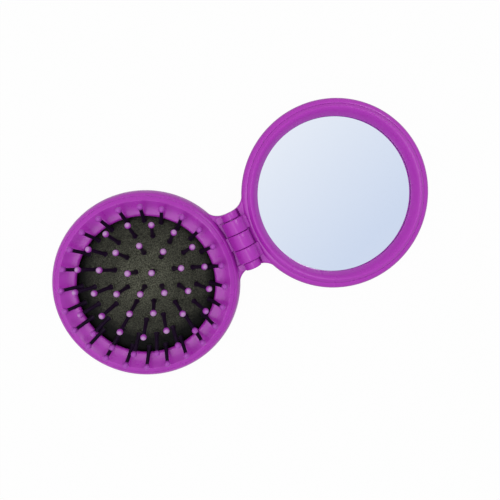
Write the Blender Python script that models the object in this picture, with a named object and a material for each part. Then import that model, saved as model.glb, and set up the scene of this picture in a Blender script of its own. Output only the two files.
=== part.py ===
"""A folding round pocket hairbrush with a mirror in its lid, lying open and flat with the brush pad popped up.

The brush half lies on -X and the mirror half on +X. Their backs rest on z = 0 and the hinge axis runs along Y
above the origin, in the plane where the two halves meet when the lid is shut. Units are metres.
"""

import math

import bmesh
import bpy
from mathutils import Matrix, Vector

MM = 0.001

# Both halves
CASE_RADIUS = 32.5 * MM
HALF_HEIGHT = 12.0 * MM
WALL_THICKNESS = 2.0 * MM
RIM_ROUND = 1.5 * MM
RIM_SHORTFALL = 0.4 * MM
CREST_SHORTFALL = 0.2 * MM
CLEARANCE = 0.3 * MM
CUTTER_OVERRUN = 1.0 * MM

# Brush case
BRUSH_BACK_ROUND = 4.5 * MM
BRUSH_WIDEST_HEIGHT = 6.0 * MM
FLOOR_THICKNESS = 1.6 * MM
BRUSH_LEDGE_HEIGHT = 6.5 * MM
BRUSH_LEDGE_WIDTH = 1.1 * MM
CLAMP_RIB_THICKNESS = 1.6 * MM

# Pad ring
CREST_WIDTH = 1.4 * MM
CREST_SWEEP_DEGREES = 120
DISH_WIDTH = 5.4 * MM
DISH_FALL_SHARES = ((1.0, 0.22), (0.76, 0.44), (0.52, 0.66), (0.37, 0.84))
LIP_RADIUS = 0.55 * MM
LIP_CLEARANCE = 0.45 * MM

# Rubber cushion
CUSHION_THICKNESS = 1.2 * MM
CUSHION_RISE = 6.1 * MM
CUSHION_EDGE_PLAY = 1.4 * MM
CUSHION_EDGE_WIDTH = 1.8 * MM
PIN_HOLE_PLAY = 0.4 * MM
CUSHION_RINGS = 6
CUSHION_SEGMENTS = 24

# Bristle pins
PIN_LENGTH = 9.5 * MM
PIN_RADIUS = 0.6 * MM
BALL_RADIUS = 1.15 * MM
HEAD_RADIUS = 1.2 * MM
HEAD_THICKNESS = 0.45 * MM
HEAD_DROP = 1.75 * MM
LINK_WIDTH = 1.2 * MM
OUTER_RING_MARGIN = 1.4 * MM
RING_SPACING_SHARE = 0.2591
PAD_PHASE = math.radians(-24.3)

# Push plate
PLATE_RADIUS = 12.0 * MM
PLATE_THICKNESS = 1.0 * MM
PLATE_STEP_RADIUS = 7.4 * MM
PLATE_STEP_SLOPE = 0.6 * MM
PLATE_RISE = 0.8 * MM
PLATE_BACK_RECESS = 0.3 * MM
PLATE_BOSS_RADIUS = 1.6 * MM
PLATE_BOSS_HEIGHT = 0.6 * MM
PUSH_HOLE_PLAY = 0.5 * MM

# Mirror case
LID_BACK_ROUND = 5.0 * MM
LID_WIDEST_HEIGHT = 9.0 * MM
LID_FLOOR_THICKNESS = 1.8 * MM
LID_LEDGE_HEIGHT = 6.0 * MM
LID_LEDGE_WIDTH = 1.7 * MM
LID_RIB_THICKNESS = 1.4 * MM
INNER_RIB_INSET = 1.2 * MM
OUTER_RIB_INSET = 1.5 * MM
TAPE_THICKNESS = 0.6 * MM
TAPE_INNER_RADIUS = 9.0 * MM
TAPE_MARGIN = 2.8 * MM
GLASS_THICKNESS = 1.7 * MM
GLASS_PLAY = 0.6 * MM
GLASS_RISE = 1.6 * MM
BEZEL_OVERLAP = 1.4 * MM
BEZEL_LIP_THICKNESS = 0.7 * MM
BEZEL_CREST_WIDTH = 0.5 * MM
BEZEL_SLOPE_SHARES = ((0.14, 0.16), (0.48, 0.62), (0.83, 0.93))

# Hinge
KNUCKLE_RADIUS = 3.8 * MM
KNUCKLE_INSET = 0.2 * MM
OUTER_KNUCKLE_RADIUS = 2.8 * MM
CENTRE_KNUCKLE_WIDTH = 5.0 * MM
LID_KNUCKLE_WIDTH = 4.65 * MM
OUTER_KNUCKLE_WIDTH = 2.55 * MM
KNUCKLE_PLAY = 0.3 * MM
HINGE_PIN_RADIUS = 0.8 * MM
HINGE_PIN_PLAY = 0.35 * MM
HINGE_PIN_INSET = 0.3 * MM
WEB_TIP_GAP = 1.0 * MM
WEB_DEPTH = 2.8 * MM
WEB_SHORTFALL = 0.6 * MM
WEB_ROOT_SHARE = 0.7
SHOULDER_INNER_SHARE = 0.6
SHOULDER_OUTER_SHARE = 0.1
SHOULDER_FILLET = 6.0 * MM
SHOULDER_BOTTOM = 4.0 * MM
BRUSH_SHOULDER_DROP = 1.0 * MM
LID_SHOULDER_DROP = 1.6 * MM

# Facets
CASE_SEGMENTS = 40
PLATE_SEGMENTS = 32
PIN_SEGMENTS = 6
KNUCKLE_SEGMENTS = 16
BORE_SEGMENTS = 12
ARC_STEPS = 4
WELD_DISTANCE = 0.001 * MM

# Each ring of pins: name, count, pins that share a node, tilt when popped up and when pressed in, in degrees
PIN_RINGS = (
    ("inner_pin", 6, 1, 13.0, -1.0),
    ("second_ring_pins", 12, 2, 26.0, -3.0),
    ("third_ring_pins", 18, 2, 34.0, -11.0),
    ("outer_ring_pins", 24, 2, 31.0, -20.0),
)

# What follows from the sizes above, from the outside of each half inwards
DISC_PITCH = 2 * (CASE_RADIUS + KNUCKLE_RADIUS - KNUCKLE_INSET)
BRUSH_CENTRE = Vector((-DISC_PITCH / 2, 0, 0))
LID_CENTRE = Vector((DISC_PITCH / 2, 0, 0))
HINGE_AXIS = Vector((0, 0, HALF_HEIGHT))
RIM_HEIGHT = HALF_HEIGHT - RIM_SHORTFALL
CREST_HEIGHT = HALF_HEIGHT - CREST_SHORTFALL
RIM_RADIUS = CASE_RADIUS - RIM_ROUND
SOCKET_RADIUS = CASE_RADIUS - WALL_THICKNESS
RING_RADIUS = SOCKET_RADIUS - CLEARANCE

BRUSH_CAVITY_RADIUS = SOCKET_RADIUS - BRUSH_LEDGE_WIDTH
CUSHION_EDGE_HEIGHT = BRUSH_LEDGE_HEIGHT
CUSHION_RADIUS = BRUSH_CAVITY_RADIUS - CUSHION_EDGE_PLAY
CUSHION_DOME_RADIUS = CUSHION_RADIUS - CUSHION_EDGE_WIDTH
DISH_OUTER_RADIUS = RING_RADIUS - CREST_WIDTH
OPENING_RADIUS = DISH_OUTER_RADIUS - DISH_WIDTH
OUTER_RING_RADIUS = OPENING_RADIUS - OUTER_RING_MARGIN
PIN_RING_SPACING = OUTER_RING_RADIUS * RING_SPACING_SHARE
PUSH_HOLE_RADIUS = PLATE_RADIUS + PUSH_HOLE_PLAY
PLATE_HEIGHT = CUSHION_EDGE_HEIGHT + PLATE_RISE
POP_TRAVEL = PLATE_HEIGHT - PLATE_BACK_RECESS

LID_CAVITY_RADIUS = SOCKET_RADIUS - LID_LEDGE_WIDTH
GLASS_RADIUS = LID_CAVITY_RADIUS - GLASS_PLAY
GLASS_HEIGHT = LID_LEDGE_HEIGHT + GLASS_RISE
MIRROR_SIGHT_RADIUS = GLASS_RADIUS - BEZEL_OVERLAP
BEZEL_CREST_RADIUS = RING_RADIUS - BEZEL_CREST_WIDTH
TAPE_OUTER_RADIUS = MIRROR_SIGHT_RADIUS - TAPE_MARGIN

HINGE_WIDTH = CENTRE_KNUCKLE_WIDTH + 2 * (LID_KNUCKLE_WIDTH + OUTER_KNUCKLE_WIDTH) + 4 * KNUCKLE_PLAY
WEB_ROOT_RADIUS = CASE_RADIUS - WALL_THICKNESS * WEB_ROOT_SHARE
SHOULDER_INNER_RADIUS = CASE_RADIUS - WALL_THICKNESS * SHOULDER_INNER_SHARE
SHOULDER_OUTER_RADIUS = CASE_RADIUS - WALL_THICKNESS * SHOULDER_OUTER_SHARE


def clear_scene():
    for old in list(bpy.data.objects):
        bpy.data.objects.remove(old, do_unlink=True)


def material(name, colour, roughness, metallic=0.0):
    made = bpy.data.materials.new(name)
    made.use_nodes = True
    shader = made.node_tree.nodes["Principled BSDF"]
    shader.inputs["Base Color"].default_value = (*colour, 1.0)
    shader.inputs["Roughness"].default_value = roughness
    shader.inputs["Metallic"].default_value = metallic
    return made


def add_object(name, mesh, made_of, place=(0, 0, 0), parent=None):
    obj = bpy.data.objects.new(name, mesh)
    bpy.context.collection.objects.link(obj)
    for one in made_of:
        if one.name not in mesh.materials:
            mesh.materials.append(one)
    obj.location = place
    obj.parent = parent
    return obj


def smooth_shaded(mesh):
    mesh.shade_smooth()
    mesh.set_sharp_from_angle(angle=math.radians(35))
    return mesh


def mesh_from(bm, name):
    """The finished mesh of bm, with its doubles welded and its faces pointing out."""
    bmesh.ops.remove_doubles(bm, verts=bm.verts, dist=WELD_DISTANCE)
    bmesh.ops.recalc_face_normals(bm, faces=bm.faces)
    mesh = bpy.data.meshes.new(name)
    bm.to_mesh(mesh)
    bm.free()
    return smooth_shaded(mesh)


def spin_profile(bm, profile, segments, closed):
    """Turns a profile of (radius, height) points about Z, and returns nothing: the faces are in bm."""
    points = [bm.verts.new((radius, 0, height)) for radius, height in profile]
    pairs = list(zip(points, points[1:]))
    if closed:
        pairs.append((points[-1], points[0]))
    edges = [bm.edges.new(pair) for pair in pairs]
    bmesh.ops.spin(
        bm,
        geom=points + edges,
        cent=(0, 0, 0),
        axis=(0, 0, 1),
        angle=math.tau,
        steps=segments,
        use_merge=True,
    )


def turned(name, profile, segments, closed=True):
    bm = bmesh.new()
    spin_profile(bm, profile, segments, closed)
    return mesh_from(bm, name)


def arc(centre, semi_axes, start, end, steps=ARC_STEPS):
    """Points on an ellipse about centre, from start to end in degrees, both ends included."""
    turns = [math.radians(start + (end - start) * step / steps) for step in range(steps + 1)]
    return [(centre[0] + semi_axes[0] * math.cos(t), centre[1] + semi_axes[1] * math.sin(t)) for t in turns]


def prism(name, outline, bottom, top):
    """An outline in the XY plane, extruded from bottom to top."""
    bm = bmesh.new()
    face = bm.faces.new([bm.verts.new((x, y, bottom)) for x, y in outline])
    raised = bmesh.ops.extrude_face_region(bm, geom=[face])["geom"]
    verts = [item for item in raised if isinstance(item, bmesh.types.BMVert)]
    bmesh.ops.translate(bm, vec=(0, 0, top - bottom), verts=verts)
    return mesh_from(bm, name)


def cylinder_along_y(name, radius, start, end, segments):
    bm = bmesh.new()
    turn = Matrix.Rotation(math.pi / 2, 4, "X")
    shift = Matrix.Translation((0, (start + end) / 2, 0))
    bmesh.ops.create_cone(
        bm,
        cap_ends=True,
        segments=segments,
        radius1=radius,
        radius2=radius,
        depth=end - start,
        matrix=shift @ turn,
    )
    return mesh_from(bm, name)


def helper(name, mesh, place, parent=None):
    """A cutter, or a shape that is joined to another piece: it isn't a piece of its own."""
    obj = add_object(name, mesh, (), place, parent)
    obj.hide_render = True
    obj.display_type = "WIRE"
    return obj


def combine(piece, other, operation):
    step = piece.modifiers.new(other.name, "BOOLEAN")
    step.operation = operation
    step.solver = "EXACT"
    step.object = other


# The hinge: a shoulder that grows out of each case, knuckles on it, and one bore through all of them


def knuckle_spans(brush):
    """(start, end, radius) along Y of the knuckles that one half carries."""
    centre_edge = CENTRE_KNUCKLE_WIDTH / 2
    lid_start = centre_edge + KNUCKLE_PLAY
    lid_end = lid_start + LID_KNUCKLE_WIDTH
    if not brush:
        return [(-lid_end, -lid_start, KNUCKLE_RADIUS), (lid_start, lid_end, KNUCKLE_RADIUS)]
    outer_start = lid_end + KNUCKLE_PLAY
    return [
        (-centre_edge, centre_edge, KNUCKLE_RADIUS),
        (-HINGE_WIDTH / 2, -outer_start, OUTER_KNUCKLE_RADIUS),
        (outer_start, HINGE_WIDTH / 2, OUTER_KNUCKLE_RADIUS),
    ]


def shoulder_outline(side):
    """Plan of a shoulder: it follows the case's wall and runs through a concave fillet to the hinge's full width."""
    centre = side * DISC_PITCH / 2
    fillet_y = HINGE_WIDTH / 2 + SHOULDER_FILLET
    fillet_reach = SHOULDER_OUTER_RADIUS + SHOULDER_FILLET
    fillet_run = math.sqrt(fillet_reach**2 - fillet_y**2)
    spread = math.atan2(fillet_y, fillet_run)
    upper = []
    for step in range(ARC_STEPS + 1):
        turn = spread + (math.pi / 2 - spread) * step / ARC_STEPS
        run = fillet_run - SHOULDER_FILLET * math.cos(turn)
        upper.append((centre - side * run, fillet_y - SHOULDER_FILLET * math.sin(turn)))
    lower = [(x, -y) for x, y in reversed(upper)]
    inner = []
    for step in range(2 * ARC_STEPS + 1):
        turn = -spread + 2 * spread * step / (2 * ARC_STEPS)
        inner.append((centre - side * SHOULDER_INNER_RADIUS * math.cos(turn), SHOULDER_INNER_RADIUS * math.sin(turn)))
    return upper + lower + inner


def web_outline(side, start, end):
    root = side * (DISC_PITCH / 2 - WEB_ROOT_RADIUS)
    tip = side * WEB_TIP_GAP
    return [(root, start), (tip, start), (tip, end), (root, end)]


def add_hinge_half(case, side, shoulder_top, parent=None):
    """Joins a shoulder and knuckles to a case. side is -1 on the brush half and 1 on the mirror half."""
    brush = side < 0
    base = Vector((0, 0, 0)) if parent is None else -parent.location
    level = base + HINGE_AXIS
    outline = shoulder_outline(side)
    shoulder = helper(f"{case.name}_shoulder", prism("shoulder", outline, SHOULDER_BOTTOM, shoulder_top), base, parent)
    combine(case, shoulder, "UNION")
    swing_width = HINGE_WIDTH / 2 + CUTTER_OVERRUN
    swing = cylinder_along_y("swing", KNUCKLE_RADIUS + KNUCKLE_PLAY, -swing_width, swing_width, KNUCKLE_SEGMENTS)
    combine(case, helper(f"{case.name}_swing", swing, level, parent), "DIFFERENCE")
    web_top = HALF_HEIGHT - WEB_SHORTFALL
    for number, (start, end, radius) in enumerate(knuckle_spans(brush)):
        label = f"{case.name}_knuckle_{number + 1}"
        barrel = helper(label, cylinder_along_y(label, radius, start, end, KNUCKLE_SEGMENTS), level, parent)
        web_mesh = prism(f"{label}_web", web_outline(side, start, end), web_top - WEB_DEPTH, web_top)
        web = helper(f"{label}_web", web_mesh, base, parent)
        combine(barrel, web, "UNION")
        combine(case, barrel, "UNION")
    bore = cylinder_along_y("bore", HINGE_PIN_RADIUS + HINGE_PIN_PLAY, -swing_width, swing_width, BORE_SEGMENTS)
    combine(case, helper(f"{case.name}_bore", bore, level, parent), "DIFFERENCE")


def make_hinge_pin(steel):
    reach = HINGE_WIDTH / 2 - HINGE_PIN_INSET
    mesh = cylinder_along_y("hinge_pin", HINGE_PIN_RADIUS, -reach, reach, BORE_SEGMENTS)
    return add_object("hinge_pin", mesh, (steel,), HINGE_AXIS)


# Brush half


def case_side(flat_radius, widest_height):
    """Outer side of a case from the edge of its flat back, out to its widest ring and in again to its rim."""
    lower = arc((flat_radius, widest_height), (CASE_RADIUS - flat_radius, widest_height), -90, 0)
    upper = arc((RIM_RADIUS, widest_height), (CASE_RADIUS - RIM_RADIUS, RIM_HEIGHT - widest_height), 0, 90)
    return lower + upper[1:]


def make_brush_case(plastic):
    rib_inner = CUSHION_RADIUS - CLAMP_RIB_THICKNESS
    rib_top = CUSHION_EDGE_HEIGHT - CUSHION_THICKNESS - CLEARANCE
    profile = [(PUSH_HOLE_RADIUS, 0)]
    profile += case_side(CASE_RADIUS - BRUSH_BACK_ROUND, BRUSH_WIDEST_HEIGHT)
    profile += [
        (SOCKET_RADIUS, RIM_HEIGHT),
        (SOCKET_RADIUS, BRUSH_LEDGE_HEIGHT),
        (BRUSH_CAVITY_RADIUS, BRUSH_LEDGE_HEIGHT),
        (BRUSH_CAVITY_RADIUS, FLOOR_THICKNESS),
        (CUSHION_RADIUS, FLOOR_THICKNESS),
        (CUSHION_RADIUS, rib_top),
        (rib_inner, rib_top),
        (rib_inner, FLOOR_THICKNESS),
        (PUSH_HOLE_RADIUS, FLOOR_THICKNESS),
    ]
    case = add_object("brush_case", turned("brush_case", profile, CASE_SEGMENTS), (plastic,), BRUSH_CENTRE)
    add_hinge_half(case, -1, RIM_HEIGHT - BRUSH_SHOULDER_DROP)
    return case


def make_pad_ring(plastic):
    """The front ring: a rounded crest, a dished face and a rolled lip round the opening for the pad."""
    crest_radius = CREST_WIDTH / 2
    crest_centre = (RING_RADIUS - crest_radius, CREST_HEIGHT - crest_radius)
    seat = BRUSH_LEDGE_HEIGHT + CLEARANCE
    lip_middle = OPENING_RADIUS + LIP_RADIUS
    lip_centre = (lip_middle, cushion_height(lip_middle) + LIP_CLEARANCE + LIP_RADIUS)
    dish_fall = CREST_HEIGHT - lip_centre[1]
    profile = [(RING_RADIUS, seat)]
    profile += arc(crest_centre, (crest_radius, crest_radius), 0, CREST_SWEEP_DEGREES)
    profile += [(OPENING_RADIUS + DISH_WIDTH * out, CREST_HEIGHT - dish_fall * down) for out, down in DISH_FALL_SHARES]
    profile += arc(lip_centre, (LIP_RADIUS, LIP_RADIUS), 90, 270)
    profile += [(CUSHION_DOME_RADIUS, seat)]
    return add_object("pad_ring", turned("pad_ring", profile, CASE_SEGMENTS), (plastic,), BRUSH_CENTRE)


def cushion_height(radius):
    """Top of the popped-up cushion: a shallow dome down to the flat edge that the ring clamps."""
    share = min(radius / CUSHION_DOME_RADIUS, 1)
    return CUSHION_EDGE_HEIGHT + CUSHION_RISE * (1 - share**2)


def pin_shape(bm, place):
    """One pin about its own axis, which place puts where it stands: head, shank and ball tip."""
    ball_height = PIN_LENGTH - BALL_RADIUS
    neck_turn = -math.degrees(math.acos(PIN_RADIUS / BALL_RADIUS))
    profile = [
        (0, -HEAD_DROP - HEAD_THICKNESS),
        (HEAD_RADIUS, -HEAD_DROP - HEAD_THICKNESS),
        (HEAD_RADIUS, -HEAD_DROP),
        (PIN_RADIUS, -HEAD_DROP),
    ]
    profile += arc((0, ball_height), (BALL_RADIUS, BALL_RADIUS), neck_turn, 90, 3)
    part = bmesh.new()
    spin_profile(part, profile, PIN_SEGMENTS, False)
    bmesh.ops.remove_doubles(part, verts=part.verts, dist=WELD_DISTANCE)
    bmesh.ops.recalc_face_normals(part, faces=part.faces)
    for face in part.faces:
        face.material_index = int(face.calc_center_median().z > ball_height - BALL_RADIUS)
    part.transform(place)
    scratch = bpy.data.meshes.new("pin_scratch")
    part.to_mesh(scratch)
    part.free()
    bm.from_mesh(scratch)
    bpy.data.meshes.remove(scratch)


def stand(radius, azimuth, tilt):
    """Places a pin's own axis on the pad: its foot on the cushion's top, leaning outwards by tilt."""
    return (
        Matrix.Rotation(azimuth, 4, "Z")
        @ Matrix.Translation((radius, 0, cushion_height(radius)))
        @ Matrix.Rotation(tilt, 4, "Y")
    )


def ring_radius(ring):
    """Radius of a ring of pins. The outermost one stands in a little, clear of the lip."""
    return OUTER_RING_RADIUS if ring == len(PIN_RINGS) - 1 else PIN_RING_SPACING * (ring + 1)


def all_pin_places():
    """Where each of the pins stands on the pad, the centre one first."""
    places = [stand(0, 0, 0)]
    for ring, (_, count, _, tilt, _) in enumerate(PIN_RINGS):
        for number in range(count):
            azimuth = PAD_PHASE + math.tau * number / count
            places.append(stand(ring_radius(ring), azimuth, math.radians(tilt)))
    return places


def pressed_drop(radius):
    """How far the cushion goes down at radius when the pad is pressed in."""
    share = (cushion_height(radius) - CUSHION_EDGE_HEIGHT) / CUSHION_RISE
    return POP_TRAVEL * share**2 * (3 - 2 * share)


def ring_pivot(ring):
    """(radius, height) of the point about which a ring's pins swing in as the cushion goes down."""
    _, _, _, popped, pressed = PIN_RINGS[ring]
    half_turn = math.radians(popped - pressed) / 2
    radius = ring_radius(ring)
    drop = pressed_drop(radius)
    return radius + drop / 2 / math.tan(half_turn), cushion_height(radius) - drop / 2


def make_cushion(rubber):
    steps = [CUSHION_DOME_RADIUS * step / CUSHION_RINGS for step in range(CUSHION_RINGS + 1)]
    top = [(radius, cushion_height(radius)) for radius in steps]
    bottom = [(radius, height - CUSHION_THICKNESS) for radius, height in reversed(top)]
    edge = [
        (CUSHION_RADIUS, CUSHION_EDGE_HEIGHT),
        (CUSHION_RADIUS, CUSHION_EDGE_HEIGHT - CUSHION_THICKNESS),
    ]
    mesh = turned("cushion", top + edge + bottom, CUSHION_SEGMENTS, closed=False)
    cushion = add_object("cushion", mesh, (rubber,), BRUSH_CENTRE)
    bm = bmesh.new()
    for place in all_pin_places():
        bmesh.ops.create_cone(
            bm,
            cap_ends=True,
            segments=PIN_SEGMENTS,
            radius1=PIN_RADIUS + PIN_HOLE_PLAY,
            radius2=PIN_RADIUS + PIN_HOLE_PLAY,
            depth=2 * CUSHION_THICKNESS + 2 * CUTTER_OVERRUN,
            matrix=place @ Matrix.Translation((0, 0, -CUSHION_THICKNESS / 2)),
        )
    combine(cushion, helper("pin_holes", mesh_from(bm, "pin_holes"), BRUSH_CENTRE), "DIFFERENCE")
    return cushion


def joined(name, first, second):
    """One mesh from two that run into each other."""
    base = helper(f"{name}_base", first, (0, 0, 0))
    added = helper(f"{name}_added", second, (0, 0, 0))
    combine(base, added, "UNION")
    evaluated = base.evaluated_get(bpy.context.evaluated_depsgraph_get())
    mesh = bpy.data.meshes.new_from_object(evaluated)
    mesh.name = name
    bpy.data.objects.remove(base)
    bpy.data.objects.remove(added)
    return smooth_shaded(mesh)


def pin_link(ring, spread, pivot):
    """The strip under the cushion that two neighbouring pins are moulded on, from head to head."""
    depth = HEAD_DROP + HEAD_THICKNESS / 2
    tilt = math.radians(PIN_RINGS[ring][3])
    foot = stand(ring_radius(ring), spread, tilt) @ Vector((0, 0, -depth))
    bm = bmesh.new()
    size = Matrix.Diagonal((LINK_WIDTH, 2 * foot.y, HEAD_THICKNESS, 1))
    middle = Matrix.Translation((foot.x, 0, foot.z)) @ Matrix.Rotation(tilt, 4, "Y")
    bmesh.ops.create_cube(bm, size=1, matrix=pivot @ middle @ size)
    return mesh_from(bm, "pin_link")


def make_pins(nylon, tip_plastic):
    """Every group of pins, and the centre pin. The groups of a ring share a mesh, whose origin is on their pivot."""
    made_of = (nylon, tip_plastic)
    bm = bmesh.new()
    pin_shape(bm, stand(0, 0, 0))
    add_object("centre_pin", mesh_from(bm, "centre_pin"), made_of, BRUSH_CENTRE)
    for ring, (name, count, shared, tilt, _) in enumerate(PIN_RINGS):
        pivot_radius, pivot_height = ring_pivot(ring)
        pitch = math.tau / count
        spread = pitch * (shared - 1) / 2
        pivot = Matrix.Translation((-pivot_radius, 0, -pivot_height))
        bm = bmesh.new()
        for number in range(shared):
            place = stand(ring_radius(ring), pitch * number - spread, math.radians(tilt))
            pin_shape(bm, pivot @ place)
        mesh = mesh_from(bm, name)
        if shared > 1:
            mesh = joined(name, mesh, pin_link(ring, spread, pivot))
        for group in range(count // shared):
            azimuth = PAD_PHASE + pitch * group * shared + spread
            out = Vector((math.cos(azimuth), math.sin(azimuth), 0))
            place = BRUSH_CENTRE + out * pivot_radius + Vector((0, 0, pivot_height))
            pins = add_object(f"{name}_{group + 1:02d}", mesh, made_of, place)
            pins.rotation_euler = (0, 0, azimuth)


def make_push_plate(plastic):
    """The disc under the pad that a finger pushes through the hole in the back."""
    flange_top = PLATE_HEIGHT + PLATE_THICKNESS
    boss_top = CUSHION_EDGE_HEIGHT + CUSHION_RISE - HEAD_DROP - HEAD_THICKNESS - CLEARANCE
    step_top = boss_top - PLATE_BOSS_HEIGHT
    profile = [
        (0, PLATE_HEIGHT),
        (PLATE_RADIUS, PLATE_HEIGHT),
        (PLATE_RADIUS, flange_top),
        (PLATE_STEP_RADIUS + PLATE_STEP_SLOPE, flange_top),
        (PLATE_STEP_RADIUS, step_top),
        (PLATE_BOSS_RADIUS, step_top),
        (PLATE_BOSS_RADIUS, boss_top),
        (0, boss_top),
    ]
    mesh = turned("push_plate", profile, PLATE_SEGMENTS, closed=False)
    return add_object("push_plate", mesh, (plastic,), BRUSH_CENTRE)


# Mirror half, whose pieces hang from an empty on the hinge axis


def lid_rib(radius, top):
    outer = radius + LID_RIB_THICKNESS / 2
    inner = radius - LID_RIB_THICKNESS / 2
    return [(outer, LID_FLOOR_THICKNESS), (outer, top), (inner, top), (inner, LID_FLOOR_THICKNESS)]


def make_mirror_half(plastic, tape_foam, glass):
    hinge = bpy.data.objects.new("lid_hinge_axis", None)
    bpy.context.collection.objects.link(hinge)
    hinge.location = HINGE_AXIS
    bpy.context.view_layer.update()
    centre = LID_CENTRE - HINGE_AXIS
    glass_back = GLASS_HEIGHT - GLASS_THICKNESS
    tape_top = glass_back - CLEARANCE
    tape_back = tape_top - TAPE_THICKNESS
    rib_top = tape_back - CLEARANCE

    profile = [(0, 0)]
    profile += case_side(CASE_RADIUS - LID_BACK_ROUND, LID_WIDEST_HEIGHT)
    profile += [
        (SOCKET_RADIUS, RIM_HEIGHT),
        (SOCKET_RADIUS, LID_LEDGE_HEIGHT),
        (LID_CAVITY_RADIUS, LID_LEDGE_HEIGHT),
        (LID_CAVITY_RADIUS, LID_FLOOR_THICKNESS),
    ]
    profile += lid_rib(TAPE_OUTER_RADIUS - OUTER_RIB_INSET, rib_top)
    profile += lid_rib(TAPE_INNER_RADIUS + INNER_RIB_INSET, rib_top)
    profile += [(0, LID_FLOOR_THICKNESS)]
    case_mesh = turned("mirror_case", profile, CASE_SEGMENTS, closed=False)
    case = add_object("mirror_case", case_mesh, (plastic,), centre, hinge)
    add_hinge_half(case, 1, RIM_HEIGHT - LID_SHOULDER_DROP, hinge)

    tape_profile = [
        (TAPE_INNER_RADIUS, tape_back),
        (TAPE_OUTER_RADIUS, tape_back),
        (TAPE_OUTER_RADIUS, tape_top),
        (TAPE_INNER_RADIUS, tape_top),
    ]
    add_object("mirror_tape", turned("mirror_tape", tape_profile, CASE_SEGMENTS), (tape_foam,), centre, hinge)
    glass_profile = [(0, glass_back), (GLASS_RADIUS, glass_back), (GLASS_RADIUS, GLASS_HEIGHT), (0, GLASS_HEIGHT)]
    glass_mesh = turned("mirror_glass", glass_profile, CASE_SEGMENTS, closed=False)
    add_object("mirror_glass", glass_mesh, (glass,), centre, hinge)
    make_bezel(plastic, centre, hinge)


def make_bezel(plastic, centre, hinge):
    """The ring that holds the mirror: its lip laps over the glass, and its face rises to a rounded crest."""
    seat = LID_LEDGE_HEIGHT + CLEARANCE
    glass_gap = GLASS_RADIUS + CLEARANCE
    lip_back = GLASS_HEIGHT + CLEARANCE
    lip_top = lip_back + BEZEL_LIP_THICKNESS
    slope_width = BEZEL_CREST_RADIUS - MIRROR_SIGHT_RADIUS
    slope_rise = CREST_HEIGHT - lip_top
    crest_centre = (BEZEL_CREST_RADIUS, CREST_HEIGHT - BEZEL_CREST_WIDTH)
    profile = [(RING_RADIUS, seat)]
    profile += arc(crest_centre, (BEZEL_CREST_WIDTH, BEZEL_CREST_WIDTH), 0, 90)
    profile += [
        (MIRROR_SIGHT_RADIUS + slope_width * out, lip_top + slope_rise * up)
        for out, up in reversed(BEZEL_SLOPE_SHARES)
    ]
    profile += [
        (MIRROR_SIGHT_RADIUS, lip_top),
        (MIRROR_SIGHT_RADIUS, lip_back),
        (glass_gap, lip_back),
        (glass_gap, seat),
    ]
    add_object("mirror_bezel", turned("mirror_bezel", profile, CASE_SEGMENTS), (plastic,), centre, hinge)


def main():
    clear_scene()
    purple = material("purple_abs", (0.40, 0.04, 0.46), 0.25)
    light_purple = material("light_purple_tip", (0.50, 0.18, 0.58), 0.35)
    rubber = material("black_rubber", (0.04, 0.04, 0.035), 0.75)
    nylon = material("black_nylon", (0.02, 0.015, 0.025), 0.4)
    foam = material("white_foam_tape", (0.8, 0.8, 0.78), 0.8)
    mirror = material("silvered_glass", (0.85, 0.88, 0.9), 0.03, 1.0)
    steel = material("steel_wire", (0.6, 0.6, 0.62), 0.3, 1.0)

    make_brush_case(purple)
    make_pad_ring(purple)
    make_cushion(rubber)
    make_push_plate(nylon)
    make_pins(nylon, light_purple)
    make_hinge_pin(steel)
    make_mirror_half(purple, foam, mirror)


main()
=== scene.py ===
"""The looks of a folding round pocket hairbrush with a mirror in its lid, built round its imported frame.

Lengths are in metres and places are in the frame's own coordinates: the brush half lies on -X, the mirror half on
+X, both backs on z = 0, and the hinge axis runs along Y above the origin.
"""

import itertools
import math

import bmesh
import bpy
from bpy.props import FloatProperty, FloatVectorProperty, PointerProperty, StringProperty
from mathutils import Euler, Matrix, Vector
from mathutils.geometry import interpolate_bezier


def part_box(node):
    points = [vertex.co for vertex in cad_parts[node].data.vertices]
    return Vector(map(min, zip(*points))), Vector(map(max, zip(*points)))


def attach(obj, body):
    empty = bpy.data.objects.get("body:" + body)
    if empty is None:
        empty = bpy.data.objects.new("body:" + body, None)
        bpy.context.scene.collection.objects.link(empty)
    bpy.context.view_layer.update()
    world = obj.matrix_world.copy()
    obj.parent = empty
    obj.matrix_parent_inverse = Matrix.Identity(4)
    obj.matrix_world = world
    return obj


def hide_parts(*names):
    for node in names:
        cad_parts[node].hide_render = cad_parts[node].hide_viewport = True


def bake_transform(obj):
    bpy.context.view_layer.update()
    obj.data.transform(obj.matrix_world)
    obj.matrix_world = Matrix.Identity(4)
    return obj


bl_info = {
    "name": "Pop-up Pocket Hairbrush",
    "version": (1, 0, 0),
    "blender": (4, 5, 0),
    "location": "3D View > Sidebar > Pocket Brush",
    "description": "Builds the visible pieces of a folding pocket hairbrush with a mirror, and their finishes",
    "category": "Add Mesh",
}

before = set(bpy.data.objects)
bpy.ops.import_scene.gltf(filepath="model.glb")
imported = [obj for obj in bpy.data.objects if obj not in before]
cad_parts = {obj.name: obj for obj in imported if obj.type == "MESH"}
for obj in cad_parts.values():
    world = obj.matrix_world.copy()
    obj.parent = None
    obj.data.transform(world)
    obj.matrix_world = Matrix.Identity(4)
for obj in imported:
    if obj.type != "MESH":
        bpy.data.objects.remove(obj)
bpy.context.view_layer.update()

MM = 0.001


def middle_of(node):
    """Centre of a node in plan, on the surface that the object lies on."""
    low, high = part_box(node)
    return Vector(((low.x + high.x) / 2, (low.y + high.y) / 2, 0))


def radius_of(node):
    low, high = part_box(node)
    return (high.x - low.x) / 2


def top_of(node):
    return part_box(node)[1].z


def bottom_of(node):
    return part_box(node)[0].z


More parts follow.
